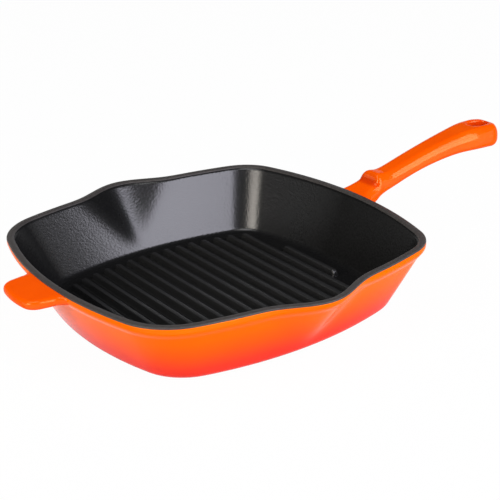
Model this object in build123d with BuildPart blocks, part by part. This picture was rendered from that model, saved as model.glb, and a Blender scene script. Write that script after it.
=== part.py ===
from build123d import *
import math
import os

# Enamelled cast-iron square grill pan. Millimetres, +Z up. The origin is the middle of the flat
# base on the hob, +X runs along the long handle, and the pouring spouts are on the two Y sides.

os.makedirs("parts", exist_ok=True)

# Enamel
coat = 0.4                  # thickness of every enamel coat
overrun = 2.0               # how far a cutting form runs past what it cuts

# Bowl, outside
rim_height = 52.0
rim_half = 130.0            # centre to the middle of a side, at the rim
side_radius = 312.0         # each side bulges outwards on this radius
corner_radius = 36.6        # at the rim, on the handle's side
tab_corner_radius = 46.5    # at the rim, on the helper tab's side
band_height = 6.0           # upright band under the rim
step_height = 2.5           # the band steps in to the wall over this height
step_depth = 3.0
wall_slope_share = 0.5      # how far the wall leans out for each unit of height
base_round = 12.0           # radius between the wall and the flat base
base_round_steps = 2
wall_steps = 2              # levels between the round and the band

# Bowl, inside
floor_height = 5.0          # top of the floor, above the hob
rim_width = 4.8             # width of the rim's top
inner_slope_share = 0.46
floor_round = 4.5           # radius between the floor and the wall
floor_round_steps = 2
rim_round = 1.2             # radius on the rim's two edges
rim_round_steps = 1
rim_wrap = 1.4              # how far the dark rim enamel comes down each side

# Pouring spouts
spout_depth = 13.4          # how far a spout stands out of its side, at the rim
spout_half = 45.4           # half of a spout's length along the side, at the rim
apex_half = 3.0             # half of the flute's width where it starts, at the foot of the wall
swell_share = 0.3642        # handle of the spout's curve, as a share of its half length

# Ribs
rib_pitch = 10.8
rib_height = 4.9
rib_foot_width = 5.8
rib_crest_width = 3.0
rib_ramp = 3.4              # the crest is this much shorter than the foot, at each end
rib_ease = 0.8              # bevel along both edges of the crest
rib_margin = 15.0           # ring of bare floor around the ribs

# Long handle
handle_run = 128.6          # from the rim to the middle of the round end
handle_rise = 27.0          # from the handle's middle height at the rim up to its crown
handle_root_drop = 7.5      # from the rim down to the handle's middle where they meet
handle_width = 31.0         # at its widest, round the hanging hole
handle_thickness = 18.0     # at its thickest
handle_round = 5.8          # radius along the handle's edges
corner_limit_share = 0.48   # most of a section's height or width that one corner takes
end_dip = 1.2               # how much lower the tip is than the middle of the round end
end_steps = 4
hole_length = 20.0
hole_width = 12.0
hole_tip_width = 8.0
hole_inset = 4.6            # middle of the hole's wide end, inwards from the round end's middle

# Shares of the handle's run, rise, width and thickness, from inside the wall to the round end.
# The top steps up between the fourth row and the fifth, as a stop for the thumb.
handle_shares = (
    (-0.07, -0.125, 1.45, 0.855),
    (0.0, 0.0, 1.16, 0.79),
    (0.0645, 0.139, 0.915, 0.749),
    (0.118, 0.256, 0.816, 0.741),
    (0.14, 0.346, 0.785, 0.863),
    (0.21, 0.4056, 0.729, 0.73),
    (0.4355, 0.694, 0.716, 0.70),
    (0.599, 0.853, 0.76, 0.754),
    (0.762, 0.962, 0.847, 0.85),
    (0.91, 1.0, 0.982, 0.972),
    (1.0, 0.995, 1.0, 1.0),
)

# Helper tab opposite the handle
tab_reach = 24.5            # how far it stands out of the rim
tab_drop = 1.1              # from the rim down to its top
tab_thickness = 6.5
tab_half_width = 24.8       # near its root
tab_tip_half_width = 21.6
tab_tip_bulge = 2.6
tab_root_half_width = 31.0
tab_root_depth = 13.0       # how far the root reaches inside the rim's outer edge
tab_neck = 4.0              # from the rim out to where the root's flare ends
tab_tip_radius = 9.0
tab_flare_radius = 12.0
tab_round = 2.6
tab_round_steps = 1

# Worked out from the sizes above
band_bottom = rim_height - band_height
step_bottom = band_bottom - step_height
wall_top_half = rim_half - step_depth
inner_rim_half = rim_half - rim_width
inner_spout_half = spout_half - rim_width / 2
seam_height = rim_height - rim_wrap
handle_root_height = rim_height - handle_root_drop
tab_top = rim_height - tab_drop
handle_end_along = rim_half + handle_run
hole_middle = handle_end_along - hole_inset
floor_half = inner_rim_half - (rim_height - floor_height) * inner_slope_share
floor_share = (floor_half + rim_width) / rim_half
field_half = floor_half - rib_margin
ribs_each_side = int((field_half - rib_ramp / 2) / rib_pitch)
hole_tip_middle = hole_middle + hole_length - (hole_width + hole_tip_width) / 2


def side_turn(half, radius, corner):
    """Half the angle that a side turns before its corner starts."""
    side_middle = half - radius
    reach = radius - corner
    corner_middle = (side_middle + math.sqrt(2 * reach**2 - side_middle**2)) / 2
    return math.atan2(corner_middle, corner_middle - side_middle)


def side_arc(radius, side_middle, start_turn, end_turn, sign):
    """Part of a Y side's arc, between two angles from the middle of the side."""
    points = []
    for turn in (start_turn, (start_turn + end_turn) / 2, end_turn):
        points.append(
            (sign * radius * math.sin(turn), sign * (side_middle + radius * math.cos(turn)))
        )
    ThreePointArc(*points)


def plan_outline(height, half, size_share, drawn_in, spout_out, spout_run):
    """One level of the bowl: four bulged sides, round corners and a spout on each Y side."""
    radius = side_radius * size_share - drawn_in
    side_middle = half - radius
    lead = math.asin(spout_run / radius)
    lead_y = side_middle + radius * math.cos(lead)
    swell = swell_share * spout_run
    swell_y = lead_y + swell * math.tan(lead)
    top = half + spout_out
    ends = []
    for rim_corner in (tab_corner_radius, corner_radius):
        corner = rim_corner * size_share - drawn_in
        turn = side_turn(half, radius, corner)
        far = radius * math.sin(turn)
        near = side_middle + radius * math.cos(turn)
        diagonal = (radius - corner) * math.sin(turn) + corner / math.sqrt(2)
        ends.append((turn, far, near, diagonal))
    with BuildSketch(Plane.XY.offset(height)) as level:
        with BuildLine():
            for sign in (1, -1):
                start_turn = ends[0 if sign > 0 else 1][0]
                end_turn, far, near, diagonal = ends[1 if sign > 0 else 0]
                side_arc(radius, side_middle, -start_turn, -lead, sign)
                if spout_out > 0:
                    Bezier(
                        (-sign * spout_run, sign * lead_y),
                        (-sign * (spout_run - swell), sign * swell_y),
                        (-sign * swell, sign * top),
                        (0, sign * top),
                    )
                    Bezier(
                        (0, sign * top),
                        (sign * swell, sign * top),
                        (sign * (spout_run - swell), sign * swell_y),
                        (sign * spout_run, sign * lead_y),
                    )
                else:
                    side_arc(radius, side_middle, -lead, 0, sign)
                    side_arc(radius, side_middle, 0, lead, sign)
                side_arc(radius, side_middle, lead, end_turn, sign)
                ThreePointArc(
                    (sign * far, sign * near),
                    (sign * diagonal, sign * diagonal),
                    (sign * near, sign * far),
                )
                ThreePointArc(
                    (sign * near, sign * far),
                    (sign * half, 0),
                    (sign * near, -sign * far),
                )
                ThreePointArc(
                    (sign * near, -sign * far),
                    (sign * diagonal, -sign * diagonal),
                    (sign * far, -sign * near),
                )
        make_face()
    return level.sketch.face()


def round_top(bottom, radius, slope_share):
    """Height where the round at the foot of a leaning wall ends."""
    return bottom + radius * (1 - math.sin(math.atan(slope_share)))


def foot_levels(bottom, radius, slope_share, steps):
    """Heights up the round at a wall's foot, each with how far the round is inside the wall."""
    lean = math.atan(slope_share)
    top = round_top(bottom, radius, slope_share)
    levels = []
    for step in range(steps + 1):
        angle = (math.pi / 2 - lean) * (1 - step / steps) + lean
        height = bottom + radius * (1 - math.sin(angle))
        inside = radius * (math.cos(lean) - math.cos(angle)) - (top - height) * slope_share
        levels.append((height, inside))
    return levels


def wall_levels(bottom, top):
    """Heights between the foot of a wall and its top, where the wall only leans."""
    rise = top - bottom
    return [(bottom + rise * step / wall_steps, 0) for step in range(1, wall_steps)]


def rim_levels(top, radius):
    """Heights up the rim's rounded edge, each with how far the edge is drawn in."""
    levels = []
    for step in range(rim_round_steps + 1):
        angle = math.pi / 2 * step / rim_round_steps
        levels.append((top - radius * (1 - math.sin(angle)), radius * (1 - math.cos(angle))))
    return levels


def outer_level(height, start, inside, skin):
    """Outline of the bowl's outside at a height; the flutes start at the height called start."""
    if height > step_bottom:
        half = wall_top_half + step_depth * min(1, (height - step_bottom) / step_height) - inside
    else:
        half = wall_top_half - (step_bottom - height) * wall_slope_share - inside
    grown_share = max(0, (height - start) / (rim_height - start))
    return plan_outline(
        height,
        half - skin,
        half / rim_half,
        skin,
        spout_depth * grown_share,
        apex_half + (spout_half - apex_half) * grown_share,
    )


def inner_level(height, start, inside, skin):
    """Outline of the bowl's inside at a height; the flutes start at the height called start."""
    half = inner_rim_half - (rim_height - height) * inner_slope_share - inside
    grown_share = max(0, (height - start) / (rim_height - start))
    return plan_outline(
        height,
        half + skin,
        (half + rim_width) / rim_half,
        rim_width - skin,
        spout_depth * grown_share,
        apex_half + (inner_spout_half - apex_half) * grown_share,
    )


def outer_form(skin):
    """The bowl's outside as one solid block, without its hollow."""
    foot = foot_levels(skin, base_round - skin, wall_slope_share, base_round_steps)
    start = foot[-1][0]
    wall = wall_levels(start, step_bottom)
    step = [(step_bottom, 0), (band_bottom, 0)]
    levels = foot + wall + step + rim_levels(rim_height - skin, rim_round - skin)
    with BuildPart() as block:
        loft(
            sections=[outer_level(height, start, inside, skin) for height, inside in levels],
            ruled=True,
        )
    return block.part


def hollow_form(skin):
    """The bowl's hollow, open past the rim."""
    foot = foot_levels(
        floor_height - skin, floor_round + skin, inner_slope_share, floor_round_steps
    )
    start = foot[-1][0]
    levels = foot + wall_levels(start, rim_height - rim_round)
    sections = [inner_level(height, start, inside, skin) for height, inside in levels]
    for height, outside in rim_levels(rim_height - skin, rim_round - skin):
        sections.append(inner_level(height, start, -outside, skin))
    with BuildPart() as block:
        loft(sections=sections, ruled=True)
        extrude(block.faces().sort_by(Axis.Z)[-1], amount=overrun)
    return block.part


def slab(bottom, top):
    """Everything between two heights, wider than the pan."""
    with BuildPart() as layer:
        with BuildSketch(Plane.XY.offset(bottom)):
            Rectangle(4 * rim_half, 4 * rim_half)
        extrude(amount=top - bottom)
    return layer.part


def handle_section(along, middle_height, width, thickness, radius):
    """One upright cross-section of the handle: a rectangle with round corners."""
    plane = Plane(origin=(along, 0, middle_height), x_dir=(0, 1, 0), z_dir=(1, 0, 0))
    with BuildSketch(plane) as section:
        RectangleRounded(
            width,
            thickness,
            min(radius, corner_limit_share * width, corner_limit_share * thickness),
        )
    return section.sketch.face()


def handle_form(skin):
    """The long handle from inside the wall to its round end, drawn in by the skin's thickness."""
    corner = handle_round - skin
    sections = []
    for along_share, rise_share, width_share, thickness_share in handle_shares:
        end_height = handle_root_height + handle_rise * rise_share
        end_width = handle_width * width_share - 2 * skin
        end_thickness = handle_thickness * thickness_share - 2 * skin
        along = rim_half + handle_run * along_share
        sections.append(handle_section(along, end_height, end_width, end_thickness, corner))
    end_radius = end_width / 2
    for step in range(1, end_steps):
        angle = math.pi / 2 * step / end_steps
        forward = end_radius * math.sin(angle)
        to_tip = end_radius - forward
        eased = corner - math.sqrt(corner**2 - max(0, corner - to_tip) ** 2)
        sections.append(
            handle_section(
                handle_end_along + forward,
                end_height - end_dip * forward / end_radius,
                2 * end_radius * math.cos(angle),
                end_thickness - 2 * eased,
                corner,
            )
        )
    with BuildPart() as whole:
        loft(sections=sections, ruled=True)
        with BuildSketch(Plane.XY):
            with Locations((hole_middle, 0)):
                Circle(hole_width / 2 + skin)
            with Locations((hole_tip_middle, 0)):
                Circle(hole_tip_width / 2 + skin)
            make_hull()
        extrude(amount=handle_root_height + handle_rise + handle_thickness, mode=Mode.SUBTRACT)
    return whole.part


def tab_outline(height, drawn_in):
    """Plan of the helper tab, from inside the wall to its slightly bulged tip."""
    root_x = tab_root_depth - rim_half
    neck_x = -rim_half - tab_neck
    corner_x = tab_tip_bulge - tab_reach - rim_half
    with BuildSketch(Plane.XY.offset(height)) as plan:
        with BuildLine():
            Polyline(
                (corner_x, tab_tip_half_width),
                (neck_x, tab_half_width),
                (root_x, tab_root_half_width),
                (root_x, -tab_root_half_width),
                (neck_x, -tab_half_width),
                (corner_x, -tab_tip_half_width),
            )
            ThreePointArc(
                (corner_x, -tab_tip_half_width),
                (-rim_half - tab_reach, 0),
                (corner_x, tab_tip_half_width),
            )
        make_face()
        fillet(plan.vertices().group_by(Axis.X)[0], tab_tip_radius)
        fillet(
            [corner for corner in plan.vertices() if abs(corner.X - neck_x) < coat],
            tab_flare_radius,
        )
        if drawn_in > 0:
            offset(amount=-drawn_in, mode=Mode.REPLACE)
    return plan.sketch.face()


def tab_form(skin):
    """The helper tab with rounded edges, drawn in by the skin's thickness."""
    radius = tab_round - skin
    low = tab_top - tab_thickness + skin
    high = tab_top - skin
    eases = []
    for step in range(tab_round_steps + 1):
        angle = math.pi / 2 * step / tab_round_steps
        eases.append((radius * (1 - math.sin(angle)), radius * (1 - math.cos(angle))))
    levels = [(low + up, skin + inside) for up, inside in reversed(eases)]
    levels += [(high - down, skin + inside) for down, inside in eases]
    with BuildPart() as tab:
        loft(sections=[tab_outline(height, inside) for height, inside in levels], ruled=True)
    return tab.part


def rib_half_length(along):
    """Half of a rib's length: the ribs end on an outline drawn in from the floor's own."""
    field_radius = side_radius * floor_share - rim_width - rib_margin
    field_corner = corner_radius * floor_share - rim_width - rib_margin
    turn = side_turn(field_half, field_radius, field_corner)
    side_middle = field_half - field_radius
    corner_middle = (field_radius - field_corner) * math.sin(turn)
    across = abs(along)
    if across < field_radius * math.sin(turn):
        return side_middle + math.sqrt(field_radius**2 - across**2)
    if across < side_middle + field_radius * math.cos(turn):
        return corner_middle + math.sqrt(field_corner**2 - (across - corner_middle) ** 2)
    return math.sqrt(field_radius**2 - (across - side_middle) ** 2)


def rib_form(along, skin):
    """One rib: a rounded crest on sloping sides, with a ramp down at each end."""
    half_length = rib_half_length(along) - skin
    bottom = floor_height - skin
    top = floor_height + rib_height - skin
    half_foot = rib_foot_width / 2 - skin
    half_crest = rib_crest_width / 2 - skin
    with BuildPart() as rib:
        with BuildSketch(Plane.XZ) as profile:
            with BuildLine():
                Polyline(
                    (along - half_foot, bottom),
                    (along - half_crest, top),
                    (along + half_crest, top),
                    (along + half_foot, bottom),
                    close=True,
                )
            make_face()
            chamfer(profile.vertices().group_by(Axis.Y)[-1], rib_ease)
        extrude(amount=half_length, both=True)
        with BuildSketch(Plane.YZ.offset(along)):
            with BuildLine():
                Polyline(
                    (-half_length, bottom),
                    (rib_ramp - half_length, top),
                    (half_length - rib_ramp, top),
                    (half_length, bottom),
                    close=True,
                )
            make_face()
        extrude(amount=rib_foot_width, both=True, mode=Mode.INTERSECT)
    return rib.part


outside = outer_form(0)
outside_of_iron = outer_form(coat)
hollow = hollow_form(0)
hollow_of_iron = hollow_form(coat)
handle_outside = handle_form(0)
handle_core = handle_form(coat)
tab_outside = tab_form(0)
tab_core = tab_form(coat)
rib_places = [number * rib_pitch for number in range(-ribs_each_side, ribs_each_side + 1)]
rib_cores = [rib_form(place, coat) for place in rib_places]
rib_outsides = [rib_form(place, 0) for place in rib_places]

# The casting: bowl, ribs, long handle and helper tab
with BuildPart() as iron_bowl:
    add(outside_of_iron)
    add(hollow_of_iron, mode=Mode.SUBTRACT)

with BuildPart() as iron_ribs:
    add(rib_cores)

with BuildPart() as iron_handle:
    add(handle_core)
    add(outside_of_iron, mode=Mode.SUBTRACT)

with BuildPart() as iron_helper_tab:
    add(tab_core)
    add(outside_of_iron, mode=Mode.SUBTRACT)

# The coloured coat: wall, base, handle and tab
with BuildPart() as outer_enamel:
    add(outside)
    add(outside_of_iron, mode=Mode.SUBTRACT)
    add(handle_core, mode=Mode.SUBTRACT)
    add(tab_core, mode=Mode.SUBTRACT)
    add(slab(coat, seam_height), mode=Mode.INTERSECT)

with BuildPart() as base_enamel:
    add(outside)
    add(slab(0, coat), mode=Mode.INTERSECT)

with BuildPart() as handle_enamel:
    add(handle_outside)
    add(handle_core, mode=Mode.SUBTRACT)
    add(outside, mode=Mode.SUBTRACT)

with BuildPart() as helper_tab_enamel:
    add(tab_outside)
    add(tab_core, mode=Mode.SUBTRACT)
    add(outside, mode=Mode.SUBTRACT)

# The black coat: rim, wall and floor, and the ribs
with BuildPart() as rim_enamel:
    add(outside)
    add(hollow, mode=Mode.SUBTRACT)
    add(slab(seam_height, rim_height), mode=Mode.INTERSECT)
    add(iron_bowl.part, mode=Mode.SUBTRACT)
    add(handle_core, mode=Mode.SUBTRACT)
    add(tab_core, mode=Mode.SUBTRACT)

with BuildPart() as inner_enamel:
    add(hollow_of_iron)
    add(hollow, mode=Mode.SUBTRACT)
    add(slab(0, seam_height), mode=Mode.INTERSECT)
    add(rib_cores, mode=Mode.SUBTRACT)

with BuildPart() as rib_enamel:
    add(rib_outsides)
    add(rib_cores, mode=Mode.SUBTRACT)

pieces = {
    "iron_bowl": iron_bowl,
    "iron_ribs": iron_ribs,
    "iron_handle": iron_handle,
    "iron_helper_tab": iron_helper_tab,
    "outer_enamel": outer_enamel,
    "base_enamel": base_enamel,
    "handle_enamel": handle_enamel,
    "helper_tab_enamel": helper_tab_enamel,
    "rim_enamel": rim_enamel,
    "inner_enamel": inner_enamel,
    "rib_enamel": rib_enamel,
}
for name, piece in pieces.items():
    piece.part.label = name
    export_step(piece.part, f"parts/{name}.step")
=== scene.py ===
import math

import bmesh
import bpy
import numpy as np
from mathutils import Matrix, Vector


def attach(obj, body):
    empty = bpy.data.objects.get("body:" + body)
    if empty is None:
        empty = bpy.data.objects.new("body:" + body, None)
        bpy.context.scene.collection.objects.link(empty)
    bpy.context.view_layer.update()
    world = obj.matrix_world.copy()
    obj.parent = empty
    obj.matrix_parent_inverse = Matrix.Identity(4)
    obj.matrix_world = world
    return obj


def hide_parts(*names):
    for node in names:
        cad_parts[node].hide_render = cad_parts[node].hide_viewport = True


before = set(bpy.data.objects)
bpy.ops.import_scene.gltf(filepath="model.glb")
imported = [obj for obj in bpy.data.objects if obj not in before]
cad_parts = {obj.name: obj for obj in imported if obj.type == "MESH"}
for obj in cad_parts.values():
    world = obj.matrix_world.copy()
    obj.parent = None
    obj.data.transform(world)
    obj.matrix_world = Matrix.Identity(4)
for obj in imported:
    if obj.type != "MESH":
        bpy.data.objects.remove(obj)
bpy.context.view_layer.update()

# Square cast-iron grill pan, enamelled bright orange outside and satin black inside.
# +X runs along the long handle, the pouring spouts are on the two Y sides.
MM = 0.001
BODY = "root"

# Bowl, outside. Every size is in millimetres, and a share is a part of another size.
rim_height = 52.0
rim_half = 130.0
side_radius = 312.0
corner_radius = 36.6
tab_corner_radius = 46.5
band_height = 6.0
step_height = 2.5
step_depth = 3.0
step_ease = 2.2
wall_slope_share = 0.5
base_round = 12.0
coat = 0.4

# Bowl, inside
floor_height = 5.0
rim_width = 4.8
inner_slope_share = 0.46
floor_round = 4.5
rim_round = 1.2
rim_wrap = 1.4

# Pouring spouts
spout_depth = 13.7
spout_half = 45.4
apex_half = 3.0
swell_share = 0.3642
spout_ease = 11.0

# Ribs
rib_pitch = 10.8
rib_height = 4.9
rib_foot_width = 5.8
rib_crest_width = 3.0
rib_ramp = 3.4
rib_round = 1.1
rib_fillet = 0.9
rib_margin = 15.0
rib_fillet_out_share = 0.6
rib_fillet_in_share = 0.75
rib_fillet_rise_share = 0.8
rib_crest_inset_share = 0.55
rib_crest_reach_share = 0.9
rib_end_width_share = 0.55
rib_end_fullness = 0.9
rib_sink = 0.1

# Long handle: how far the middle of its round end is from the rim, and its sizes there
handle_run = 128.6
handle_rise = 27.0
handle_root_height = 44.5
handle_width = 31.0
handle_thickness = 18.0
top_edge_width = 6.5
top_edge_drop_share = 0.54
low_edge_width = 5.2
low_edge_rise_share = 0.3
end_round_top = 6.5
end_round_low = 10.5
end_round_low_share = 0.8
end_fullness = 0.86
end_dip = 1.2
hole_length = 17.8
hole_width = 13.6
hole_tip_width = 11.6
hole_inset = 2.6
hole_flare = 1.3
hole_flare_depth = 2.6
end_reach = 14.25
corner_limit_share = 0.48

# The handle's line: how far along, how far up, and its width and thickness, all as shares
handle_shares = (
    (-0.07, -0.125, 1.45, 0.855),
    (0.0, 0.0, 1.16, 0.79),
    (0.0645, 0.139, 0.915, 0.749),
    (0.14, 0.303, 0.776, 0.737),
    (0.28, 0.498, 0.70, 0.722),
    (0.4355, 0.694, 0.716, 0.70),
    (0.599, 0.853, 0.76, 0.754),
    (0.762, 0.962, 0.847, 0.85),
    (0.91, 1.0, 0.982, 0.972),
    (1.0, 0.995, 1.0, 1.0),
)

# Helper tab
tab_reach = 24.5
tab_top = 50.9
tab_thickness = 6.5
tab_half_width = 24.8
tab_tip_half_width = 21.6
tab_tip_bulge = 2.6
tab_root_half_width = 31.0
tab_root_depth = 13.0
tab_neck = 4.0
tab_tip_radius = 11.0
tab_tip_lead = 0.95
tab_tip_middle_radius = 85.0
tab_flare_radius = 12.0
tab_round = 2.6

# Top of the handle at the thumb stop: how far along, and how far above the handle's own line
thumb_stop_line = (
    (142.6, 0.0),
    (143.6, 0.15),
    (144.4, 0.7),
    (145.0, 1.6),
    (145.5, 2.7),
    (146.1, 3.7),
    (147.0, 4.4),
    (148.4, 4.45),
    (150.0, 3.95),
    (152.0, 3.05),
    (154.0, 2.1),
    (156.5, 1.1),
    (160.0, 0.3),
    (164.0, 0.0),
)
thumb_stop_crown = 1.5
thumb_stop_crown_lift = 2.0
thumb_stop_start = 142.0
thumb_stop_end = 163.0

# Casting fillets where the handle and the tab meet the wall. A root patch is half as wide as
# its first size, and reaches from its second size up to its third.
root_depth = 2.2
root_cover = 0.25
handle_root_patch = (30.0, 27.0, 50.0)
tab_root_patch = (38.0, 36.0, 50.0)
fillet_end = 137.0
fillet_fade = 4.0

# How finely the handle's and the tab's fused skins are divided
skin_grain = 0.5

# Worked out from the sizes above
band_bottom = rim_height - band_height
step_bottom = band_bottom - step_height
wall_top_half = rim_half - step_depth
inner_rim_half = rim_half - rim_width
inner_spout_half = spout_half - rim_width / 2
seam_height = rim_height - rim_wrap
under_step = step_bottom - 2.0
over_step = band_bottom + 2.0
handle_end_along = rim_half + handle_run
hole_middle = handle_end_along - hole_inset
hole_tip_middle = hole_middle + hole_length - (hole_width + hole_tip_width) / 2
floor_half = inner_rim_half - (rim_height - floor_height) * inner_slope_share
floor_share = (floor_half + rim_width) / rim_half
field_half = floor_half - rib_margin
field_radius = side_radius * floor_share - rim_width - rib_margin
field_corner = corner_radius * floor_share - rim_width - rib_margin
ribs_each_side = int((field_half - rib_ramp / 2) / rib_pitch)
rib_count = 2 * ribs_each_side + 1


# Mesh helpers
def new_piece(name, verts, faces):
    """A mesh object at the origin from points in millimetres."""
    mesh = bpy.data.meshes.new(name)
    mesh.from_pydata([tuple(v) for v in np.asarray(verts) * MM], [], faces)
    mesh.update()
    piece = bpy.data.objects.new(name, mesh)
    bpy.context.scene.collection.objects.link(piece)
    mesh.polygons.foreach_set("use_smooth", [True] * len(mesh.polygons))
    return piece


def band_faces(levels, count, closed=False):
    """Faces between rings of equal count, and from the last ring back to the first if closed."""
    faces = []
    for level in range(levels if closed else levels - 1):
        low = level * count
        high = (level + 1) % levels * count
        for n in range(count):
            after = (n + 1) % count
            faces.append((low + n, low + after, high + after, high + n))
    return faces


def ring_mesh(name, rings):
    """A closed skin through rings of equal count, with a centre point closing each end."""
    count = len(rings[0])
    verts = [point for ring in rings for point in ring]
    faces = band_faces(len(rings), count)
    for ring, base, flip in ((rings[0], 0, True), (rings[-1], (len(rings) - 1) * count, False)):
        centre = len(verts)
        verts.append(np.mean(np.asarray(ring), axis=0))
        for n in range(count):
            after = (n + 1) % count
            faces.append((base + after, base + n, centre) if flip else (base + n, base + after, centre))
    piece = new_piece(name, verts, faces)
    outward(piece)
    return piece


def outward(piece):
    """Turns every face of a closed mesh outwards."""
    work = bmesh.new()
    work.from_mesh(piece.data)
    bmesh.ops.remove_doubles(work, verts=work.verts, dist=1e-7)
    bmesh.ops.recalc_face_normals(work, faces=work.faces)
    work.to_mesh(piece.data)
    work.free()


def bake_modifiers(piece):
    """Turns the evaluated mesh into the piece's own plain mesh."""
    graph = bpy.context.evaluated_depsgraph_get()
    graph.update()
    mesh = bpy.data.meshes.new_from_object(piece.evaluated_get(graph))
    piece.modifiers.clear()
    old = piece.data
    piece.data = mesh
    mesh.name = piece.name
    bpy.data.meshes.remove(old)
    mesh.polygons.foreach_set("use_smooth", [True] * len(mesh.polygons))


def edge_round(radius, steps):
    """A rounded edge, from the side it leaves to the flat it joins: how far down and how far in."""
    rows = []
    for angle in np.linspace(0, math.pi / 2, steps + 1):
        rows.append((radius * (1 - math.sin(angle)), radius * (1 - math.cos(angle))))
    return rows


# Bowl outlines: how many points each stretch of one has
side_steps = 20
spout_steps = 30
corner_steps = 22
cross_side_steps = 40


def side_turn(half, radius, corner):
    """Half the angle that a side turns before its corner starts."""
    side_middle = half - radius
    reach = radius - corner
    corner_middle = (side_middle + math.sqrt(2 * reach**2 - side_middle**2)) / 2
    return math.atan2(corner_middle, corner_middle - side_middle)


def plan_outline(half, size_share, drawn_in, spout_out, spout_run):
    """Points round one level of the bowl: bulged sides, round corners, a spout on each Y side."""
    radius = side_radius * size_share - drawn_in
    side_middle = half - radius
    lead = math.asin(spout_run / radius)
    lead_y = side_middle + radius * math.cos(lead)
    top = half + spout_out
    corners = [rim_corner * size_share - drawn_in for rim_corner in (tab_corner_radius, corner_radius)]
    tab_turn, handle_turn = (side_turn(half, radius, corner) for corner in corners)
    outline = []
    for sign, start_turn, end_turn, corner in (
        (1, tab_turn, handle_turn, corners[1]),
        (-1, handle_turn, tab_turn, corners[0]),
    ):
        points = []
        for angle in np.linspace(-start_turn, -lead, side_steps, endpoint=False):
            points.append((radius * math.sin(angle), side_middle + radius * math.cos(angle)))
        for along in np.linspace(-1, 1, 2 * spout_steps, endpoint=False):
            points.append(spout_point(along, spout_run, lead, lead_y, top))
        for angle in np.linspace(lead, end_turn, side_steps, endpoint=False):
            points.append((radius * math.sin(angle), side_middle + radius * math.cos(angle)))
        points = eased_spout(points)
        middle = (radius - corner) * math.sin(end_turn)
        for angle in np.linspace(end_turn, math.pi / 2 - end_turn, corner_steps, endpoint=False):
            points.append((middle + corner * math.sin(angle), middle + corner * math.cos(angle)))
        for angle in np.linspace(end_turn, -end_turn, cross_side_steps, endpoint=False):
            points.append((side_middle + radius * math.cos(angle), radius * math.sin(angle)))
        for angle in np.linspace(math.pi / 2 - end_turn, end_turn, corner_steps, endpoint=False):
            points.append((middle + corner * math.sin(angle), -middle - corner * math.cos(angle)))
        outline += [(sign * x, sign * y) for x, y in points]
    return np.array(outline)


def spout_point(along, spout_run, lead, lead_y, top):
    """A point on the spout's lip; along runs from -1 at one end to 1 at the other."""
    swell = swell_share * spout_run
    start = np.array((spout_run, lead_y))
    leave = np.array((spout_run - swell, lead_y + swell * math.tan(lead)))
    arrive = np.array((swell, top))
    crown = np.array((0.0, top))
    t = 1 - abs(along)
    point = (1 - t) ** 3 * start + 3 * t * (1 - t) ** 2 * leave + 3 * t**2 * (1 - t) * arrive + t**3 * crown
    return (math.copysign(point[0], along), point[1])


def eased_spout(points):
    """The same side and spout with its crown and its two starts rubbed softer."""
    along, out = np.array(points).T
    room = np.minimum(1, np.minimum(along - along[0], along[-1] - along) / spout_ease)
    total = 0
    shifts = np.linspace(-1, 1, 9)
    furthest_weight = 0.2
    weights = 1 - np.abs(shifts) * (1 - furthest_weight)
    for shift, weight in zip(shifts, weights / weights.sum()):
        total = total + weight * np.interp(along + shift * spout_ease * room, along, out)
    return list(zip(along, total))


def outer_half(height):
    """The outside's half width at a height, with the band's step softened."""
    total = 0
    samples = 9
    for n in range(samples):
        at = height + step_ease * (2 * n / (samples - 1) - 1)
        if at > step_bottom:
            total += wall_top_half + step_depth * min(1, (at - step_bottom) / step_height)
        else:
            total += wall_top_half - (step_bottom - at) * wall_slope_share
    return total / samples


def foot_arc(bottom, radius, slope_share, steps):
    """Heights up the round at a wall's foot, each with how far it is inside the wall's line."""
    lean = math.atan(slope_share)
    top = bottom + radius * (1 - math.sin(lean))
    rows = []
    for step in range(steps + 1):
        angle = (math.pi / 2 - lean) * (1 - step / steps) + lean
        height = bottom + radius * (1 - math.sin(angle))
        rows.append((height, radius * (math.cos(lean) - math.cos(angle)) - (top - height) * slope_share))
    return rows


def outer_ring(height, inside, skin):
    """One ring of the bowl's outside, drawn in by a skin's thickness."""
    start = foot_arc(0, base_round, wall_slope_share, 1)[-1][0]
    half = outer_half(height) - inside
    grown = max(0, (height - start) / (rim_height - start))
    flat = plan_outline(
        half - skin,
        half / rim_half,
        skin,
        spout_depth * grown,
        apex_half + (spout_half - apex_half) * grown,
    )
    return np.column_stack((flat, np.full(len(flat), height)))


def inner_ring(height, inside, skin):
    """One ring of the bowl's inside, let out by a skin's thickness."""
    start = foot_arc(floor_height, floor_round, inner_slope_share, 1)[-1][0]
    half = inner_rim_half - (rim_height - height) * inner_slope_share - inside
    grown = max(0, (height - start) / (rim_height - start))
    flat = plan_outline(
        half + skin,
        (half + rim_width) / rim_half,
        rim_width - skin,
        spout_depth * grown,
        apex_half + (inner_spout_half - apex_half) * grown,
    )
    return np.column_stack((flat, np.full(len(flat), height)))


def shrunk(ring, share, height):
    """A smaller copy of a ring, for filling a flat face."""
    small = ring.copy()
    small[:, :2] *= share
    small[:, 2] = height
    return small


# Rings that fill a flat face, and how finely the skins' feet, walls and rounds are divided
fill_shares = (0.12, 0.45, 0.75, 0.93)
outer_foot_steps = 14
outer_wall_steps = 14
outer_step_steps = 20
outer_band_steps = 4
inner_foot_steps = 12
inner_wall_steps = 26
rim_round_steps = 5
casting_foot_steps = 8
casting_wall_steps = 16
casting_floor_steps = 6
casting_inner_steps = 10


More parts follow.
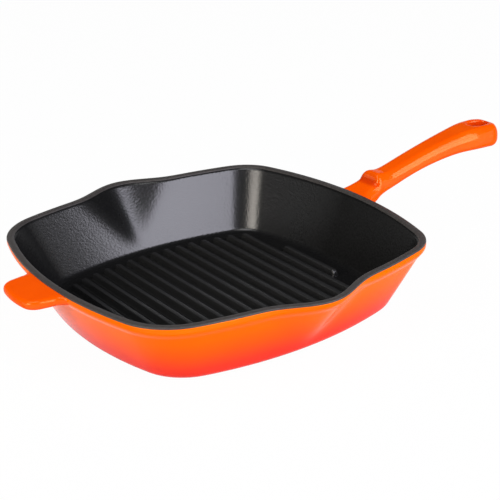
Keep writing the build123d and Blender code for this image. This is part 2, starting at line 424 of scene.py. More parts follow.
def wall_coat():
    """The coloured coat over the base, the wall and the band under the rim."""
    foot = foot_arc(0, base_round, wall_slope_share, outer_foot_steps)
    heights = []
    for low, high, steps in (
        (foot[-1][0], under_step, outer_wall_steps),
        (under_step, over_step, outer_step_steps),
        (over_step, seam_height, outer_band_steps),
    ):
        heights += list(np.linspace(low, high, steps)[1:])
    rings = [outer_ring(height, inside, 0) for height, inside in foot]
    rings = [shrunk(rings[0], share, 0) for share in fill_shares] + rings
    rings += [outer_ring(height, 0, 0) for height in heights]
    # The side against the iron has only some of the rings, from the top down
    lining = [outer_ring(height, 0, coat) for height in heights[::-4]]
    lining += [outer_ring(max(height, coat), inside, coat) for height, inside in foot[::-3]]
    rings += lining
    rings += [shrunk(lining[-1], share, coat) for share in fill_shares[::-1]]
    return ring_mesh("wall_coat", rings)


def rim_coat():
    """The dark coat that wraps over the rim."""
    rows = edge_round(rim_round, rim_round_steps)
    rings = [outer_ring(seam_height, 0, 0)]
    rings += [outer_ring(rim_height - down, inside, 0) for down, inside in rows]
    rings += [inner_ring(rim_height - down, -inside, 0) for down, inside in rows[::-1]]
    rings += [inner_ring(seam_height, 0, skin) for skin in (0, coat)]
    rings += [inner_ring(rim_height - coat, 0, coat)]
    rings += [outer_ring(height, 0, coat) for height in (rim_height - coat, seam_height)]
    verts = [point for ring in rings for point in ring]
    piece = new_piece("rim_coat", verts, band_faces(len(rings), len(rings[0]), closed=True))
    outward(piece)
    return piece


def inner_coat():
    """The black coat over the inside of the wall and the floor."""
    foot = foot_arc(floor_height, floor_round, inner_slope_share, inner_foot_steps)
    heights = list(np.linspace(foot[-1][0], seam_height, inner_wall_steps)[1:])
    rings = [inner_ring(height, inside, 0) for height, inside in foot]
    rings = [shrunk(rings[0], share, floor_height) for share in fill_shares] + rings
    rings += [inner_ring(height, 0, 0) for height in heights]
    # The side against the iron has only some of the rings, from the top down
    lining = [inner_ring(height, 0, coat) for height in heights[::-5]]
    lining += [inner_ring(height, inside, coat) for height, inside in foot[::-3]]
    low = floor_height - coat
    lining[-1][:, 2] = low
    rings += lining
    rings += [shrunk(lining[-1], share, low) for share in fill_shares[::-1]]
    return ring_mesh("inner_coat", rings)


def bowl_casting():
    """The iron of the bowl, which fills the space between the two coats."""
    foot = foot_arc(0, base_round, wall_slope_share, casting_foot_steps)
    heights = np.linspace(foot[-1][0], over_step, casting_wall_steps)[1:]
    rings = [outer_ring(max(height, coat), inside, coat) for height, inside in foot]
    rings = [shrunk(rings[0], share, coat) for share in fill_shares] + rings
    rings += [outer_ring(height, 0, coat) for height in heights]
    rings += [outer_ring(rim_height - coat, 0, coat), inner_ring(rim_height - coat, 0, coat)]
    foot = foot_arc(floor_height, floor_round, inner_slope_share, casting_floor_steps)
    heights = np.linspace(seam_height, foot[-1][0], casting_inner_steps)
    low = floor_height - coat
    rings += [inner_ring(height, 0, coat) for height in heights]
    rings += [inner_ring(height, inside, coat) for height, inside in foot[-2::-1]]
    rings[-1][:, 2] = low
    rings += [shrunk(rings[-1], share, low) for share in fill_shares[::-1]]
    return ring_mesh("bowl_casting", rings)


# Ribs
rib_foot_steps = 4
rib_crest_steps = 7
rib_ramp_steps = 8


def rib_block():
    """One rib at the middle of the pan: a soft crest on sloping sides, rounded off at both ends."""
    foot = rib_foot_width / 2
    crest = rib_crest_width / 2
    lean = math.atan((foot - crest) / rib_height)
    profile = []
    for angle in np.linspace(0, math.pi / 2 - lean, rib_foot_steps + 1):
        out = rib_fillet * (rib_fillet_out_share - rib_fillet_in_share * math.sin(angle))
        profile.append((foot + out, rib_fillet * rib_fillet_rise_share * (1 - math.cos(angle))))
    for angle in np.linspace(lean, math.pi / 2, rib_crest_steps + 1):
        out = rib_round * (rib_crest_reach_share * math.cos(angle) - rib_crest_inset_share)
        profile.append((crest + out, rib_height - rib_round + rib_round * math.sin(angle)))
    profile += [(-x, z) for x, z in profile[::-1]]
    rings = []
    shares = np.linspace(0, 1, rib_ramp_steps + 1)
    for sign, order in ((-1, shares), (1, shares[::-1])):
        for share in order:
            rise = math.sin(share * math.pi / 2) ** rib_end_fullness
            narrow = rib_end_width_share + (1 - rib_end_width_share) * math.sqrt(1 - (1 - share) ** 2)
            along = sign * (field_half - rib_ramp * (1 - math.cos(share * math.pi / 2)))
            rings.append([
                (x * narrow, along, floor_height - rib_sink + (z + rib_sink) * rise) for x, z in profile
            ])
    return ring_mesh("rib_coat", rings)


# Steps that set out the ribs. Each has a name, an operation, and sizes or the names of others.
# CHOOSE gives its third term where the first is less than the second, and else its fourth.
rib_steps = (
    # Where the row of ribs starts
    ("gaps", "SUBTRACT", "Count", 1.0),
    ("width", "MULTIPLY", "gaps", "Pitch"),
    ("start", "MULTIPLY", "width", -0.5),
    # How far across the pan a rib stands
    ("number", "DIVIDE", "X", "Pitch"),
    ("whole", "ROUND", "number"),
    ("place", "MULTIPLY", "whole", "Pitch"),
    ("across", "ABSOLUTE", "place"),
    # Half its length where it ends at the bulged side, in the round corner, and past that corner
    ("across_square", "MULTIPLY", "across", "across"),
    ("radius_square", "MULTIPLY", "Side Radius", "Side Radius"),
    ("under_arc", "SUBTRACT", "radius_square", "across_square"),
    ("arc", "SQRT", "under_arc"),
    ("side_middle", "SUBTRACT", "Field Half", "Side Radius"),
    ("by_side", "ADD", "arc", "side_middle"),
    ("from_corner", "SUBTRACT", "across", "Corner Middle"),
    ("corner_offset", "MULTIPLY", "from_corner", "from_corner"),
    ("corner_square", "MULTIPLY", "Corner Radius", "Corner Radius"),
    ("under_corner", "SUBTRACT", "corner_square", "corner_offset"),
    ("corner_root", "SQRT", "under_corner"),
    ("by_corner", "ADD", "corner_root", "Corner Middle"),
    ("from_side", "SUBTRACT", "across", "side_middle"),
    ("side_offset", "MULTIPLY", "from_side", "from_side"),
    ("under_end", "SUBTRACT", "radius_square", "side_offset"),
    ("by_end", "SQRT", "under_end"),
    ("outer_length", "CHOOSE", "across", "Corner End", "by_corner", "by_end"),
    ("length", "CHOOSE", "across", "Side End", "by_side", "outer_length"),
    # How far each of its ends moves to that length
    ("change", "SUBTRACT", "length", "Field Half"),
    ("side", "SIGN", "Y"),
    ("shift", "MULTIPLY", "change", "side"),
)


def rib_field():
    """All the ribs of the floor, side by side, each as long as the field is at its place."""
    turn = side_turn(field_half, field_radius, field_corner)
    sizes = {
        "Count": rib_count,
        "Pitch": rib_pitch * MM,
        "Field Half": field_half * MM,
        "Side Radius": field_radius * MM,
        "Side End": field_radius * math.sin(turn) * MM,
        "Corner Radius": field_corner * MM,
        "Corner Middle": (field_radius - field_corner) * math.sin(turn) * MM,
        "Corner End": (field_half - field_radius + field_radius * math.cos(turn)) * MM,
    }
    tree = bpy.data.node_groups.new("grill_ribs", "GeometryNodeTree")
    tree.interface.new_socket("Rib", in_out="INPUT", socket_type="NodeSocketGeometry")
    identifiers = {}
    for label, value in sizes.items():
        kind = "NodeSocketInt" if isinstance(value, int) else "NodeSocketFloat"
        socket = tree.interface.new_socket(label, in_out="INPUT", socket_type=kind)
        identifiers[label] = socket.identifier
    finish = tree.interface.new_socket("Finish", in_out="INPUT", socket_type="NodeSocketMaterial")
    tree.interface.new_socket("Ribs", in_out="OUTPUT", socket_type="NodeSocketGeometry")
    given = add_node(tree, "NodeGroupInput").outputs

    here = add_node(tree, "GeometryNodeInputPosition")
    split = add_node(tree, "ShaderNodeSeparateXYZ", None, {"Vector": here.outputs[0]})
    known = {name: given[name] for name in sizes}
    known.update(X=split.outputs["X"], Y=split.outputs["Y"])
    for name, operation, *terms in rib_steps:
        if operation == "CHOOSE":
            value, limit, near, far = (known[term] for term in terms)
            less = add_node(tree, "FunctionNodeCompare", {"operation": "LESS_THAN"}, {0: value, 1: limit})
            links = {0: less.outputs[0], "True": near, "False": far}
            node = add_node(tree, "GeometryNodeSwitch", {"input_type": "FLOAT"}, links)
        else:
            links = {n: known[term] for n, term in enumerate(terms) if isinstance(term, str)}
            settings = {n: term for n, term in enumerate(terms) if n not in links}
            node = add_node(tree, "ShaderNodeMath", {"operation": operation, **settings}, links)
        known[name] = node.outputs[0]

    # A row of points across the floor with a rib on each, whose ends then move to its length
    first = add_node(tree, "ShaderNodeCombineXYZ", None, {"X": known["start"]})
    step = add_node(tree, "ShaderNodeCombineXYZ", None, {"X": given["Pitch"]})
    row = add_node(
        tree, "GeometryNodeMeshLine", {"mode": "OFFSET"},
        {"Count": given["Count"], "Start Location": first.outputs[0], "Offset": step.outputs[0]},
    )
    ribs = add_node(
        tree, "GeometryNodeInstanceOnPoints", None, {"Points": row.outputs[0], "Instance": given["Rib"]}
    )
    real = add_node(tree, "GeometryNodeRealizeInstances", None, {"Geometry": ribs.outputs[0]})
    along = add_node(tree, "ShaderNodeCombineXYZ", None, {"Y": known["shift"]})
    moved = add_node(
        tree, "GeometryNodeSetPosition", None, {"Geometry": real.outputs[0], "Offset": along.outputs[0]}
    )
    dressed = add_node(
        tree, "GeometryNodeSetMaterial", None, {"Geometry": moved.outputs[0], "Material": given["Finish"]}
    )
    add_node(tree, "NodeGroupOutput", None, {0: dressed.outputs[0]})

    piece = rib_block()
    modifier = piece.modifiers.new("ribs", "NODES")
    modifier.node_group = tree
    for label, value in sizes.items():
        modifier[identifiers[label]] = value
    # The ribs' finish is a lighter copy of the black enamel, which is painted light.
    modifier[finish.identifier] = bpy.data.materials["satin_black_rib_enamel_painted_lighter"]
    bake_modifiers(piece)
    return piece


# Long handle: points on each rounded edge of a cross-section, and how far apart cross-sections are
section_steps = 12
root_spacing = 1.0
stop_spacing = 0.35
handle_spacing = 1.5
tip_angles = np.radians(np.linspace(1, 88, 30))
hole_round_steps = 12
hole_end_steps = 40


def smooth_between(rows, places):
    """Values at places on a smooth curve through rows of (place, value, ...)."""
    table = np.array(rows)
    at = table[:, 0]
    slopes = np.gradient(table[:, 1:], at, axis=0)
    out = []
    for place in places:
        n = int(np.clip(np.searchsorted(at, place) - 1, 0, len(at) - 2))
        span = at[n + 1] - at[n]
        t = (place - at[n]) / span
        out.append(
            table[n, 1:] * (2 * t**3 - 3 * t**2 + 1)
            + slopes[n] * span * (t**3 - 2 * t**2 + t)
            + table[n + 1, 1:] * (3 * t**2 - 2 * t**3)
            + slopes[n + 1] * span * (t**3 - t**2)
        )
    return np.array(out)


def section_ring(along, bottom, top, width, crown=0):
    """One upright cross-section of the handle: broad rounds on top, smaller ones below, a crown."""
    thick = top - bottom
    points = []
    for side, level, out, up, start in (
        (1, top, top_edge_width, top_edge_drop_share, 0),
        (-1, top, top_edge_width, top_edge_drop_share, 90),
        (-1, bottom, low_edge_width, low_edge_rise_share, 180),
        (1, bottom, low_edge_width, low_edge_rise_share, 270),
    ):
        reach = min(out, corner_limit_share * width)
        rise = up * thick
        inward = -1 if level == top else 1
        for angle in np.radians(np.linspace(start, start + 90, section_steps)):
            across = side * (width / 2 - reach) + reach * math.cos(angle)
            height = level + inward * rise + rise * math.sin(angle)
            upper_share = max(0, 2 * (height - bottom) / thick - 1)
            fall = crown * (2 * across / width) ** 2 * upper_share
            points.append((along, across, height - fall))
    return np.array(points)


def handle_rings():
    """Cross-sections from inside the wall to the tip, with the thumb stop on the top."""
    rows = [
        (
            rim_half + handle_run * along,
            handle_root_height + handle_rise * rise,
            handle_thickness * thickness,
            handle_width * width,
        )
        for along, rise, width, thickness in handle_shares
    ]
    places = np.concatenate((
        np.arange(rows[0][0], thumb_stop_start, root_spacing),
        np.arange(thumb_stop_start, thumb_stop_end, stop_spacing),
        np.arange(thumb_stop_end, rows[-1][0], handle_spacing),
    ))
    rings = []
    lifts = np.interp(places, [at for at, _ in thumb_stop_line], [up for _, up in thumb_stop_line])
    for along, lift, (middle, thickness, width) in zip(places, lifts, smooth_between(rows, places)):
        crown = thumb_stop_crown * min(1, lift / thumb_stop_crown_lift)
        rings.append(
            section_ring(along, middle - thickness / 2, middle + thickness / 2 + lift, width, crown)
        )
    _, middle, thickness, width = rows[-1]
    for angle in tip_angles:
        forward = end_reach * math.sin(angle) ** end_fullness
        low_short, top_short = [
            radius - math.sqrt(radius**2 - max(0, radius - end_reach + forward) ** 2)
            for radius in (end_round_low, end_round_top)
        ]
        drop = end_dip * forward / end_reach
        rings.append(
            section_ring(
                handle_end_along + forward,
                middle - drop - thickness / 2 + end_round_low_share * low_short,
                middle - drop + thickness / 2 - top_short,
                width * math.cos(angle) ** end_fullness,
            )
        )
    return rings


def wall_face(across, height):
    """How far out the wall's face is, on the handle's side and the tab's."""
    half = np.array([outer_half(at) for at in height])
    radius = side_radius * half / rim_half
    return half - radius + np.sqrt(radius**2 - np.asarray(across) ** 2)


def root_patch(half_width, low, high, sign):
    """A slab just under the wall's face, for a casting fillet to grow out of."""
    steps = 25
    across = np.linspace(-half_width, half_width, steps)
    rings = []
    for height in np.linspace(low, high, steps):
        face = wall_face(across, [height] * steps)
        out = [(sign * (x - root_cover), y, height) for x, y in zip(face, across)]
        back = [(sign * (x - root_depth), y, height) for x, y in zip(face[::-1], across[::-1])]
        rings.append(out + back)
    return ring_mesh("root_patch", rings)


def drop_outline(grown):
    """Plan of the hanging hole: a wide end and a narrow one, let out by a distance."""
    wide = hole_width / 2 + grown
    narrow = hole_tip_width / 2 + grown
    lean = math.asin((wide - narrow) / (hole_tip_middle - hole_middle))
    points = []
    for middle, radius, start, end in (
        (hole_middle, wide, math.pi / 2 - lean, 3 * math.pi / 2 + lean),
        (hole_tip_middle, narrow, -math.pi / 2 + lean, math.pi / 2 - lean),
    ):
        for angle in np.linspace(start, end, hole_end_steps):
            points.append((middle + radius * math.cos(angle), radius * math.sin(angle)))
    return points


def hole_cutter():
    """The hanging hole with its rounded lips, as a block to cut the handle with."""
    middle = handle_root_height + handle_rise * handle_shares[-1][1]
    half = handle_thickness / 2
    clearance = 4.0
    rows = [
        (half - hole_flare_depth * down, hole_flare * out) for down, out in edge_round(1, hole_round_steps)
    ]
    rows.append((half + clearance, hole_flare))
    levels = [(-up, grown) for up, grown in rows[::-1]] + rows
    return ring_mesh(
        "hole_cutter",
        [[(x, y, middle + up) for x, y in drop_outline(grown)] for up, grown in levels],
    )


def fuse(name, blocks):
    """One skin over blocks that run into each other."""
    verts = []
    faces = []
    for block in blocks:
        outward(block)
        base = len(verts)
        verts += [tuple(np.array(v.co) / MM) for v in block.data.vertices]
        faces += [tuple(base + n for n in face.vertices) for face in block.data.polygons]
        bpy.data.objects.remove(block)
    piece = new_piece(name, verts, faces)
    skin = piece.modifiers.new("skin", "REMESH")
    skin.mode = "VOXEL"
    skin.voxel_size = skin_grain * MM
    bake_modifiers(piece)
    return piece


def relax(piece, rounds, ease):
    """Evens out a skin: each point goes towards the middle of its neighbours by its own share."""
    mesh = piece.data
    points = np.empty(len(mesh.vertices) * 3)
    mesh.vertices.foreach_get("co", points)
    points = points.reshape(-1, 3)
    pairs = np.empty(len(mesh.edges) * 2, dtype=int)
    mesh.edges.foreach_get("vertices", pairs)
    pairs = pairs.reshape(-1, 2)
    count = np.bincount(pairs.ravel(), minlength=len(points))[:, None]
    share = np.asarray(ease(points / MM))[:, None]
    for _ in range(rounds):
        total = np.zeros_like(points)
        for axis in range(3):
            total[:, axis] = np.bincount(pairs[:, 0], points[pairs[:, 1], axis], len(points))
            total[:, axis] += np.bincount(pairs[:, 1], points[pairs[:, 0], axis], len(points))
        points = points + share * (total / count - points)
    mesh.vertices.foreach_set("co", points.ravel())
    mesh.update()


def soften_root(piece, sign):
    """Evens out a fused skin all over, and then only at the wall, where its fillet grows."""
    full_share = 0.5
    all_over_rounds = 8
    fillet_rounds = 30
    relax(piece, all_over_rounds, lambda points: np.full(len(points), full_share))
    relax(
        piece, fillet_rounds,
        lambda points: full_share * np.clip((fillet_end - sign * points[:, 0]) / fillet_fade, 0, 1),
    )


def handle_coat():
    """The enamelled handle, with its thumb stop, its hanging hole and a fillet at the wall."""
    rings = handle_rings()
    for ring in rings:
        face = wall_face(ring[:, 1], ring[:, 2])
        ring[:, 0] = np.maximum(ring[:, 0], face - root_depth)
    handle = ring_mesh("handle", rings)
    cutter = hole_cutter()
    cut = handle.modifiers.new("hole", "BOOLEAN")
    cut.operation = "DIFFERENCE"
    cut.solver = "EXACT"
    cut.object = cutter
    bake_modifiers(handle)
    bpy.data.objects.remove(cutter)
    piece = fuse("handle_coat", [handle, root_patch(*handle_root_patch, 1)])
    soften_root(piece, 1)
    return piece


# Helper tab: points on each arc of its outline, and levels in each of its rounded edges
tab_arc_steps = 14
tab_round_steps = 8


def eased_line(corners):
    """Points along straight runs with an arc of the given radius at each corner between them."""
    points = [np.array(corners[0][:2])]
    for before, here, after in zip(corners, corners[1:], corners[2:]):
        corner = np.array(here[:2])
        back = np.array(before[:2]) - corner
        ahead = np.array(after[:2]) - corner
        back /= np.linalg.norm(back)
        ahead /= np.linalg.norm(ahead)
        half_turn = math.acos(np.clip(np.dot(back, ahead), -1, 1)) / 2
        cut = here[2] / math.tan(half_turn)
        middle = corner + (back + ahead) / np.linalg.norm(back + ahead) * here[2] / math.sin(half_turn)
        start = corner + back * cut - middle
        end = corner + ahead * cut - middle
        for share in np.linspace(0, 1, tab_arc_steps):
            spoke = start * (1 - share) + end * share
            points.append(middle + spoke / np.linalg.norm(spoke) * here[2])
    points.append(np.array(corners[-1][:2]))
    return np.array(points)


def tab_rings():
    """Levels of the helper tab from its underside to its top."""
    root = tab_root_depth - rim_half
    neck = -rim_half - tab_neck
    corner = tab_tip_bulge - tab_reach - rim_half
    side = eased_line((
        (root, -tab_root_half_width),
        (neck, -tab_half_width, tab_flare_radius),
        (corner, -tab_tip_half_width, tab_tip_radius),
        (-rim_half - tab_reach - tab_tip_lead, 0.0, tab_tip_middle_radius),
        (corner, tab_tip_half_width, tab_tip_radius),
        (neck, tab_half_width, tab_flare_radius),
        (root, tab_root_half_width),
    ))
    ahead = np.roll(side, -1, axis=0) - np.roll(side, 1, axis=0)
    ahead[0] = side[1] - side[0]
    ahead[-1] = side[-1] - side[-2]
    inwards = np.column_stack((ahead[:, 1], -ahead[:, 0]))
    inwards /= np.linalg.norm(inwards, axis=1)[:, None]
    low = tab_top - tab_thickness
    rows = edge_round(tab_round, tab_round_steps)
    levels = [(low + up, drawn_in) for up, drawn_in in rows[::-1]]
    levels += [(tab_top - down, drawn_in) for down, drawn_in in rows]
    rings = []
    for height, drawn_in in levels:
        flat = side + inwards * drawn_in
        rings.append(np.column_stack((flat, np.full(len(flat), height))))
    return rings


def tab_coat():
    """The enamelled helper tab, with soft edges and a fillet at the wall."""
    rings = tab_rings()
    for ring in rings:
        face = wall_face(ring[:, 1], ring[:, 2])
        ring[:, 0] = np.minimum(ring[:, 0], root_depth - face)
    piece = fuse("tab_coat", [ring_mesh("tab", rings), root_patch(*tab_root_patch, -1)])
    soften_root(piece, -1)
    return piece


def add_camera():
    """The camera, fitted to the outlines of the rim, the base and the handle."""
    place = Vector((-429.22, -698.17, 381.81)) * MM
    forward = Vector((0.50869, 0.76911, -0.38691))
    right = Vector((0.82305, -0.5663, -0.04361))
    up = Vector((0.25264, 0.29626, 0.92109))
    data = bpy.data.cameras.new("camera")
    data.lens = 89.68
    data.sensor_width = 36.0
    camera = bpy.data.objects.new("camera", data)
    bpy.context.scene.collection.objects.link(camera)
    turn = Matrix((right, up, -forward)).transposed()
    camera.matrix_world = Matrix.Translation(place) @ turn.to_4x4()
    bpy.context.scene.camera = camera


# Materials
def linear(code):
    """An sRGB hex colour as linear red, green, blue and alpha."""
    values = []
    for n in (1, 3, 5):
        share = int(code[n : n + 2], 16) / 255
        values.append(share / 12.92 if share <= 0.04045 else ((share + 0.055) / 1.055) ** 2.4)
    return (*values, 1.0)


def add_node(tree, kind, settings=None, links=None, stops=()):
    """Adds a node: settings are its properties or inputs, links its inputs, stops its ramp's colours."""
    node = tree.nodes.new(kind)
    for name, value in (settings or {}).items():
        if isinstance(name, int) or name in node.inputs:
            node.inputs[name].default_value = value
        else:
            setattr(node, name, value)
    for name, socket in (links or {}).items():
        tree.links.new(socket, node.inputs[name])
    if stops:
        elements = node.color_ramp.elements
        elements[0].position, elements[1].position = stops[0][0], stops[-1][0]
        for place, _ in stops[1:-1]:
            elements.new(place)
        for element, (_, code) in zip(elements, stops):
            element.color = linear(code)
    return node


def new_material(name):
    """An empty material and its node tree."""
    material = bpy.data.materials.new(name)
    material.use_nodes = True
    material.node_tree.nodes.clear()
    return material, material.node_tree


# What the finishes share. A noise's scale is about how many of its grains lie in a metre: real
# spray peel is under 1 mm wide and sand grain finer still, so both are drawn coarse enough to show.
enamel_ior = 1.5
warm_reflection = "#FFF098"
shading_scale = 14.0  # the sprayed shading wanders over about 70 mm
cloud_scale = 30.0  # faint clouds about 33 mm wide
gloss_peel_scale = 420.0  # 2.4 mm
satin_peel_scale = 620.0  # 1.6 mm
rim_grain_scale = 500.0  # 2 mm
sand_grain_scale = 900.0  # 1.1 mm


def add_surface(tree, colour, texture, strength, depth, settings, gloss=None):
    """Ends a finish with its shader, and a bump from its texture with its depth in metres.

    Gloss is the specular level seen square on and seen along the surface, and between which two
    angles it changes, from 0 to 1. It keeps the white studio off what is seen along its length.
    """
    bump = add_node(
        tree, "ShaderNodeBump", {"Strength": strength, "Distance": depth}, {"Height": texture}
    )
    links = {"Base Color": colour, "Normal": bump.outputs["Normal"]}
    if gloss:
        square_on, along, start, end = gloss
        angle = add_node(tree, "ShaderNodeLayerWeight", {"Blend": 0.5})
        level = add_node(
            tree, "ShaderNodeMapRange",
            {"From Min": start, "From Max": end, "To Min": square_on, "To Max": along},
            {"Value": angle.outputs["Facing"]},
        )
        links["Specular IOR Level"] = level.outputs["Result"]
    shader = add_node(tree, "ShaderNodeBsdfPrincipled", settings, links)
    add_node(tree, "ShaderNodeOutputMaterial", None, {"Surface": shader.outputs["BSDF"]})


def glossy_surface(tree, place, colour, roughness, gloss):
    """Ends an orange finish: glossy, with warm reflections and a faint peel from the spray."""
    peel = add_node(
        tree, "ShaderNodeTexNoise", {"Scale": gloss_peel_scale, "Detail": 1.0}, {"Vector": place}
    )
    settings = {"Roughness": roughness, "IOR": enamel_ior, "Specular Tint": linear(warm_reflection)}
    add_surface(tree, colour, peel.outputs["Fac"], 0.08, 0.4 * MM, settings, gloss)


def graded_enamel():
    """Vitreous enamel sprayed orange at the rim and shaded to red at the base, fired glossy."""
    material, tree = new_material("vitreous_enamel_graded_orange")
    place = add_node(tree, "ShaderNodeTexCoord").outputs["Object"]
    split = add_node(tree, "ShaderNodeSeparateXYZ", None, {"Vector": place})
    cloud = add_node(
        tree, "ShaderNodeTexNoise", {"Scale": shading_scale, "Detail": 2.0}, {"Vector": place}
    )
    wander = 3 * MM
    drift = add_node(
        tree, "ShaderNodeMath", {"operation": "MULTIPLY_ADD", 1: 2 * wander, 2: -wander},
        {0: cloud.outputs["Fac"]},
    )
    height = add_node(
        tree, "ShaderNodeMath", {"operation": "ADD"}, {0: split.outputs["Z"], 1: drift.outputs[0]}
    )
    share = add_node(
        tree, "ShaderNodeMapRange", {"From Min": 0.0, "From Max": rim_height * MM},
        {"Value": height.outputs[0]},
    )
    colour = add_node(
        tree, "ShaderNodeValToRGB", None, {"Fac": share.outputs["Result"]},
        ((0.0, "#EA3830"), (0.2, "#F2402A"), (0.45, "#FC5A12"), (0.7, "#FE6A00"), (1.0, "#FE6E00")),
    )
    glossy_surface(tree, place, colour.outputs["Color"], roughness=0.14, gloss=(0.2, 0.02, 0.2, 0.34))
    return material


# Painted shade: a darker red in the hanging hole and at the foot of the thumb stop's face, where they fall
# in shade.
# Each row is a middle in millimetres, how much each axis counts, and from where to where it fades.
painted_shade_spots = (
    ((258.6, 0.0, 71.0), (0.75, 1.0, 0.0), 6.0, 8.6),
    ((143.6, 0.0, 57.0), (1.0, 0.16, 0.9), 1.6, 4.2),
)


def orange_enamel():
    """The same gloss enamel, orange without the grade, on the handle and the helper tab, with painted shade.
    """
    material, tree = new_material("vitreous_enamel_orange")
    place = add_node(tree, "ShaderNodeTexCoord").outputs["Object"]
    cloud = add_node(tree, "ShaderNodeTexNoise", {"Scale": cloud_scale, "Detail": 2.0}, {"Vector": place})
    colour = add_node(
        tree, "ShaderNodeValToRGB", None, {"Fac": cloud.outputs["Fac"]}, ((0.3, "#FA5600"), (0.7, "#FE5E00"))
    ).outputs["Color"]
    # Painted shade: each spot mixes the orange towards a darker red, in the hole and against the stop's
    # face.
    for middle, stretch, near, far in painted_shade_spots:
        offset = add_node(
            tree, "ShaderNodeVectorMath", {"operation": "SUBTRACT", 1: [v * MM for v in middle]}, {0: place}
        )
        squeezed = add_node(
            tree, "ShaderNodeVectorMath", {"operation": "MULTIPLY", 1: stretch}, {0: offset.outputs[0]}
        )
        away = add_node(tree, "ShaderNodeVectorMath", {"operation": "LENGTH"}, {0: squeezed.outputs[0]})
        share = add_node(
            tree, "ShaderNodeMapRange", {"From Min": near * MM, "From Max": far * MM},
            {"Value": away.outputs["Value"]},
        )
        colour = add_node(
            tree, "ShaderNodeMix", {"data_type": "RGBA", 6: linear("#DC3E04")},
            {0: share.outputs["Result"], 7: colour},
        ).outputs[2]
    glossy_surface(tree, place, colour, roughness=0.12, gloss=(0.5, 0.02, 0.28, 0.4))
    return material


def grained_finish(name, scale, detail, colours, strength, depth, settings, gloss=None):
    """A finish whose colour and bump both follow one fine grain."""
    material, tree = new_material(name)
    place = add_node(tree, "ShaderNodeTexCoord").outputs["Object"]
    grain = add_node(tree, "ShaderNodeTexNoise", {"Scale": scale, "Detail": detail}, {"Vector": place})
    colour = add_node(
        tree, "ShaderNodeValToRGB", None, {"Fac": grain.outputs["Fac"]}, tuple(zip((0.3, 0.7), colours))
    )
    add_surface(tree, colour.outputs["Color"], grain.outputs["Fac"], strength, depth, settings, gloss)
    return material


def black_enamel(name, colours, square_on, along):
    """Satin black enamel, with the fine orange peel of a sprayed and fired frit."""
    return grained_finish(
        name, satin_peel_scale, 2.0, colours, strength=0.36, depth=0.5 * MM,
        settings={"Roughness": 0.25, "IOR": enamel_ior}, gloss=(square_on, along, 0.1, 0.32),
    )


def rim_enamel():
    """The thin matt enamel on the rim, where the iron shows through as warm dark grey."""
    return grained_finish(
        "matt_rim_enamel", rim_grain_scale, 3.0, ("#2E2A28", "#3E3A37"), strength=0.3, depth=0.3 * MM,
        settings={"Roughness": 0.55, "IOR": enamel_ior},
    )


def cast_iron():
    """Grey cast iron with its sand-cast grain, under the enamel."""
    return grained_finish(
        "sand_cast_iron", sand_grain_scale, 4.0, ("#2E2E30", "#444446"), strength=0.5, depth=0.4 * MM,
        settings={"Roughness": 0.6, "Metallic": 1.0},
    )


# Stage, in metres
def add_stage():
    """A white paper sweep: a round floor whose edge curves up into a low wall."""
    floor_level = -0.0002
    floor_radius = 8.0
    curve_radius = 1.0
    wall_height = 3.0
    steps = 64
    profile = [(reach, floor_level) for reach in (0.001, 2.0, floor_radius)]
    for angle in np.radians(np.linspace(15, 90, 6)):
        out = curve_radius * math.sin(angle)
        profile.append((floor_radius + out, curve_radius - curve_radius * math.cos(angle)))
    profile.append((floor_radius + curve_radius, wall_height))
    verts = [
        (reach * math.cos(turn), reach * math.sin(turn), height)
        for reach, height in profile
        for turn in np.linspace(0, 2 * math.pi, steps, endpoint=False)
    ]
    faces = band_faces(len(profile), steps)
    faces.append(tuple(range(steps)))
    mesh = bpy.data.meshes.new("white_sweep")
    mesh.from_pydata(verts, [], faces)
    sweep = bpy.data.objects.new("white_sweep", mesh)
    bpy.context.scene.collection.objects.link(sweep)
    material, tree = new_material("white_paper_sweep")
    path = add_node(tree, "ShaderNodeLightPath").outputs
    seen = path["Is Camera Ray"]
    for ray in ("Is Glossy Ray", "Is Transmission Ray"):
        seen = add_node(tree, "ShaderNodeMath", {"operation": "MAXIMUM"}, {0: seen, 1: path[ray]}).outputs[0]
    # The rest shows the paper itself, and on it the object's shadow
    share = add_node(tree, "ShaderNodeMath", {"operation": "MULTIPLY", 1: 0.98}, {0: seen})
    paper = add_node(tree, "ShaderNodeBsdfDiffuse", {"Color": linear("#ECECEC")})
    glow = add_node(tree, "ShaderNodeEmission", {"Color": (1, 1, 1, 1), "Strength": 1.0})
    mix = add_node(
        tree, "ShaderNodeMixShader", None, {0: share.outputs[0], 1: paper.outputs[0], 2: glow.outputs[0]}
    )
    add_node(tree, "ShaderNodeOutputMaterial", None, {"Surface": mix.outputs[0]})
    mesh.materials.append(material)


def add_world():
    """A dim studio round the sweep."""
    world = bpy.data.worlds.new("studio")
    bpy.context.scene.world = world
    world.use_nodes = True
    tree = world.node_tree
    tree.nodes.clear()
    room = add_node(tree, "ShaderNodeBackground", {"Color": linear("#E8ECF0"), "Strength": 0.12})
    add_node(tree, "ShaderNodeOutputWorld", None, {"Surface": room.outputs[0]})


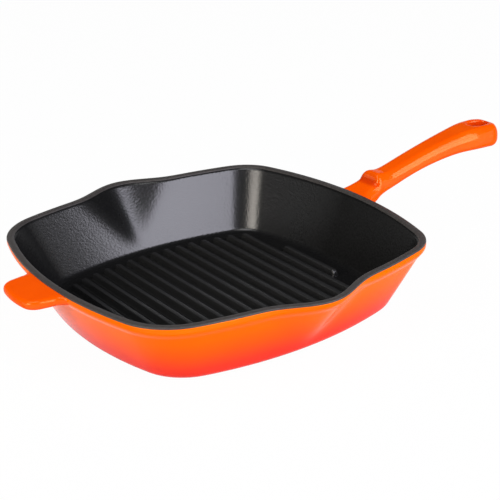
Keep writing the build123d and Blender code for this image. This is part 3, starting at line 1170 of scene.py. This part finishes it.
def add_softbox(name, place, aim, width, height, power, code="#FFFFFF"):
    """A rectangular area light at a place, turned towards a point; lengths are in metres."""
    data = bpy.data.lights.new(name, "AREA")
    data.shape = "RECTANGLE"
    data.size = width
    data.size_y = height
    data.energy = power
    data.color = linear(code)[:3]
    lamp = bpy.data.objects.new(name, data)
    bpy.context.scene.collection.objects.link(lamp)
    lamp.location = place
    lamp.rotation_euler = (Vector(aim) - Vector(place)).to_track_quat("-Z", "Y").to_euler()


def add_lights():
    """A tall main light in front, a smaller one at the tab's end and a faint one overhead."""
    add_softbox("main_softbox", (0.40, -1.22, 0.69), (0, 0, 0.04), 1.12, 1.6, 27, "#F2F1FF")
    add_softbox("left_softbox", (-1.30, -0.16, 0.62), (0, 0, 0.04), 0.7, 0.9, 12, "#FFF8EE")
    add_softbox("top_softbox", (-0.4, 0.1, 1.5), (0, 0, 0), 0.9, 0.9, 6)


def use_material(piece, material):
    """Gives a piece one material all over."""
    piece.data.materials.clear()
    piece.data.materials.append(material)


def main():
    """Makes the finishes and the pieces, and dresses the frame with them."""
    enamel = graded_enamel()
    orange = orange_enamel()
    black = black_enamel("satin_black_enamel", ("#141414", "#1C1C1C"), 0.8, 0.04)
    # Painted light: the ribs get a lighter copy of the floor's black enamel, standing in for the light on
    # their crests.
    lit_rib_black = black_enamel("satin_black_rib_enamel_painted_lighter", ("#1E1E1E", "#282828"), 0.8, 0.6)
    matt = rim_enamel()
    iron = cast_iron()
    node_finishes = {"iron": iron, "rim": black, "inner": black, "rib": black}
    for name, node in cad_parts.items():
        use_material(node, node_finishes.get(name.split("_")[0], orange))
    casting = bowl_casting()
    wall = wall_coat()
    rim = rim_coat()
    inner = inner_coat()
    ribs = rib_field()
    handle = handle_coat()
    tab = tab_coat()
    for piece, material, slot, nodes in (
        (casting, iron, "cast_iron", ("iron_bowl",)),
        (wall, enamel, "graded_enamel", ("outer_enamel", "base_enamel")),
        (rim, matt, "black_enamel", ("rim_enamel",)),
        (inner, black, "black_enamel", ("inner_enamel",)),
        (ribs, lit_rib_black, "black_enamel", ("rib_enamel",)),
        (handle, orange, "orange_enamel", ("handle_enamel", "iron_handle")),
        (tab, orange, "orange_enamel", ("helper_tab_enamel", "iron_helper_tab")),
    ):
        use_material(piece, material)
        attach(piece, BODY)
        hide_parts(*nodes)
    add_camera()
    add_stage()
    add_world()
    add_lights()


main()
bpy.context.scene.view_settings.view_transform = "Standard"
